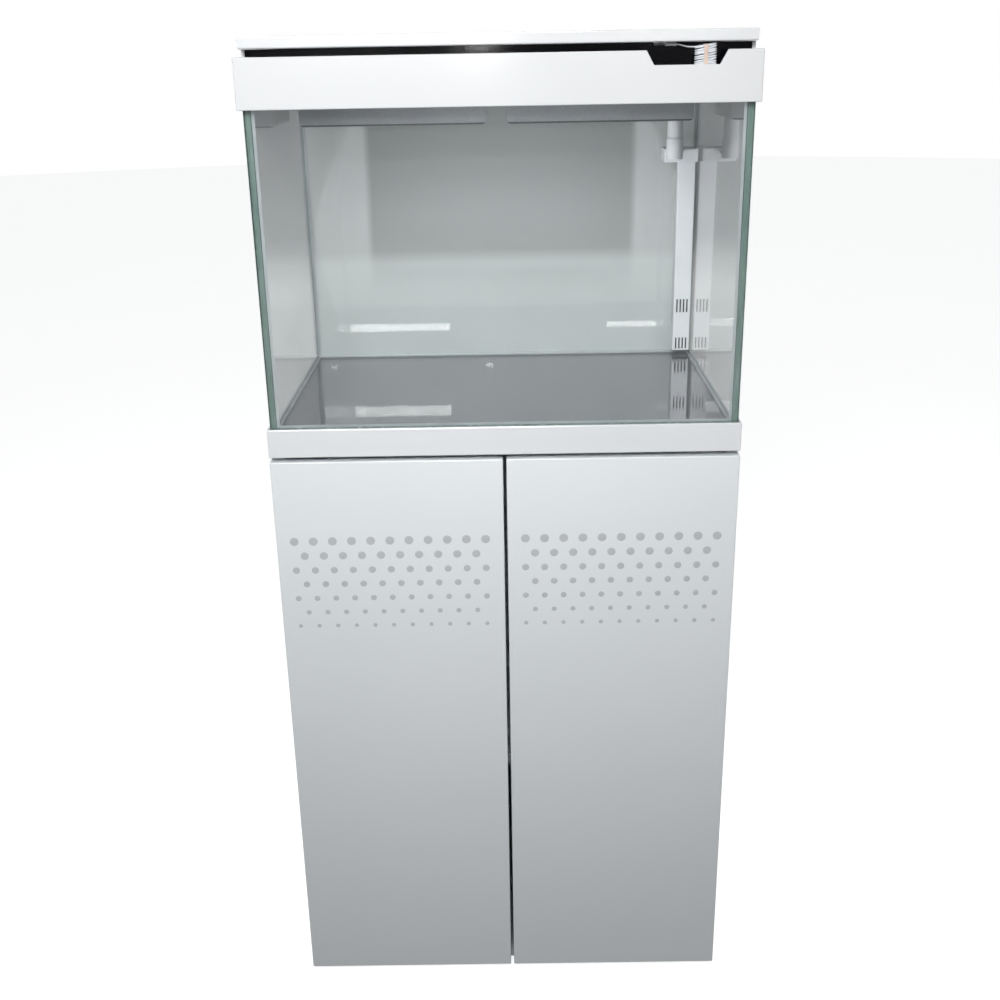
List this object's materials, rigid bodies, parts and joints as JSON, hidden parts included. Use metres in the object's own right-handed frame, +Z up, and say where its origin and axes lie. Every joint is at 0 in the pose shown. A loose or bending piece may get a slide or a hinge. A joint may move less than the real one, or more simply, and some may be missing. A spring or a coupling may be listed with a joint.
{
  "type": "aquarium on stand",
  "caption": "Glass aquarium with a hood, filter trays and light on a white cabinet with overlay doors patterned with dots.",
  "frame": {"origin": "on the floor under the middle of the cabinet", "axes": "+Z up, front towards -Y, +X to the right when seen from the front"},
  "size_m": [0.604, 0.404, 1.3145],
  "materials": {
    "board": "white laminated board, satin",
    "grey_plastic": "moulded, matte",
    "hinge_steel": "nickel-plated, satin",
    "hood_white": "white, glossy",
    "riser_black": "black, polished",
    "glass": "polished, pale green at the edges",
    "foam": "closed-cell foam, matte",
    "frosted_film": "frosted, pale grey",
    "sealant": "grey silicone",
    "tray_plastic": "pale grey, satin",
    "filter_wool": "white fibre pad",
    "pump_plastic": "pale grey, satin",
    "lamp_lens": "diffusing, white",
    "lead_sleeve": "clear-white sleeve",
    "plug_black": "moulded, matte"
  },
  "bodies": {
    "root": {"left_side": "board", "right_side": "board", "bottom_board": "board", "shelf": "board", "top_board": "board", "back_panel": "board", "glide_front_left": "grey_plastic", "glide_front_right": "grey_plastic", "glide_rear_left": "grey_plastic", "glide_rear_right": "grey_plastic", "left_latch": "grey_plastic", "right_latch": "grey_plastic", "lamp_housing": "grey_plastic", "lead_gland": "grey_plastic", "left_lower_arm": "hinge_steel", "left_upper_arm": "hinge_steel", "right_lower_arm": "hinge_steel", "right_upper_arm": "hinge_steel", "left_lid_pin": "hinge_steel", "right_lid_pin": "hinge_steel", "base_trim": "hood_white", "hood_surround": "hood_white", "riser_frame": "hood_white", "lead_clip": "hood_white", "riser_pipe": "hood_white", "intake_column": "hood_white", "riser_front": "riser_black", "base_pane": "glass", "front_pane": "glass", "back_pane": "glass", "left_pane": "glass", "right_pane": "glass", "foam_mat": "foam", "back_film": "frosted_film", "tank_seams": "sealant", "left_tray": "tray_plastic", "right_tray": "tray_plastic", "tray_rail": "tray_plastic", "left_pad": "filter_wool", "right_pad": "filter_wool", "pump_housing": "pump_plastic", "lamp_lens": "lamp_lens", "lamp_lead": "lead_sleeve", "lead_hank": "lead_sleeve", "lead_tail": "lead_sleeve", "lead_plug": "plug_black"},
    "left_door": {"left_door": "board", "left_lower_cup": "hinge_steel", "left_upper_cup": "hinge_steel"},
    "right_door": {"right_door": "board", "right_lower_cup": "hinge_steel", "right_upper_cup": "hinge_steel"},
    "left_lower_link": {"left_lower_link": "hinge_steel"},
    "left_upper_link": {"left_upper_link": "hinge_steel"},
    "right_lower_link": {"right_lower_link": "hinge_steel"},
    "right_upper_link": {"right_upper_link": "hinge_steel"},
    "left_plunger": {"left_plunger": "hood_white"},
    "right_plunger": {"right_plunger": "hood_white"},
    "lid": {"lid": "hood_white"},
    "pump_rotor": {"pump_rotor": "pump_plastic"}
  },
  "joints": [
    {"name": "left_door_swing", "type": "hinge", "parent": "root", "child": "left_door", "pos_m": [-0.294, -0.192, 0.407], "axis": [0, 0, -1], "range_deg": [0, 100]},
    {"name": "left_lower_link_turn", "type": "hinge", "parent": "root", "child": "left_lower_link", "pos_m": [-0.2795, -0.185, 0.102], "axis": [0, 0, -1], "range_deg": [0, 75]},
    {"name": "left_upper_link_turn", "type": "hinge", "parent": "root", "child": "left_upper_link", "pos_m": [-0.2795, -0.185, 0.712], "axis": [0, 0, -1], "range_deg": [0, 75]},
    {"name": "right_door_swing", "type": "hinge", "parent": "root", "child": "right_door", "pos_m": [0.294, -0.192, 0.407], "axis": [0, 0, 1], "range_deg": [0, 100]},
    {"name": "right_lower_link_turn", "type": "hinge", "parent": "root", "child": "right_lower_link", "pos_m": [0.2795, -0.185, 0.102], "axis": [0, 0, 1], "range_deg": [0, 75]},
    {"name": "right_upper_link_turn", "type": "hinge", "parent": "root", "child": "right_upper_link", "pos_m": [0.2795, -0.185, 0.712], "axis": [0, 0, 1], "range_deg": [0, 75]},
    {"name": "left_latch_push", "type": "slide", "parent": "root", "child": "left_plunger", "axis": [0, 1, 0], "range_m": [0, 0.0025], "stiffness_N_per_m": 400, "springref_m": -0.002},
    {"name": "right_latch_push", "type": "slide", "parent": "root", "child": "right_plunger", "axis": [0, 1, 0], "range_m": [0, 0.0025], "stiffness_N_per_m": 400, "springref_m": -0.002},
    {"name": "lid_lift", "type": "hinge", "parent": "root", "child": "lid", "pos_m": [0, 0.1992, 1.3005], "axis": [-1, 0, 0], "range_deg": [0, 85]},
    {"name": "rotor_spin", "type": "hinge", "parent": "root", "child": "pump_rotor", "pos_m": [0.27275, 0.1746, 1.145], "axis": [0, 0, 1], "continuous": true}
  ],
  "couplings": [
    {"joint": "left_lower_link_turn", "follows": "left_door_swing", "ratio": 0.75},
    {"joint": "left_upper_link_turn", "follows": "left_door_swing", "ratio": 0.75},
    {"joint": "right_lower_link_turn", "follows": "right_door_swing", "ratio": 0.75},
    {"joint": "right_upper_link_turn", "follows": "right_door_swing", "ratio": 0.75}
  ]
}
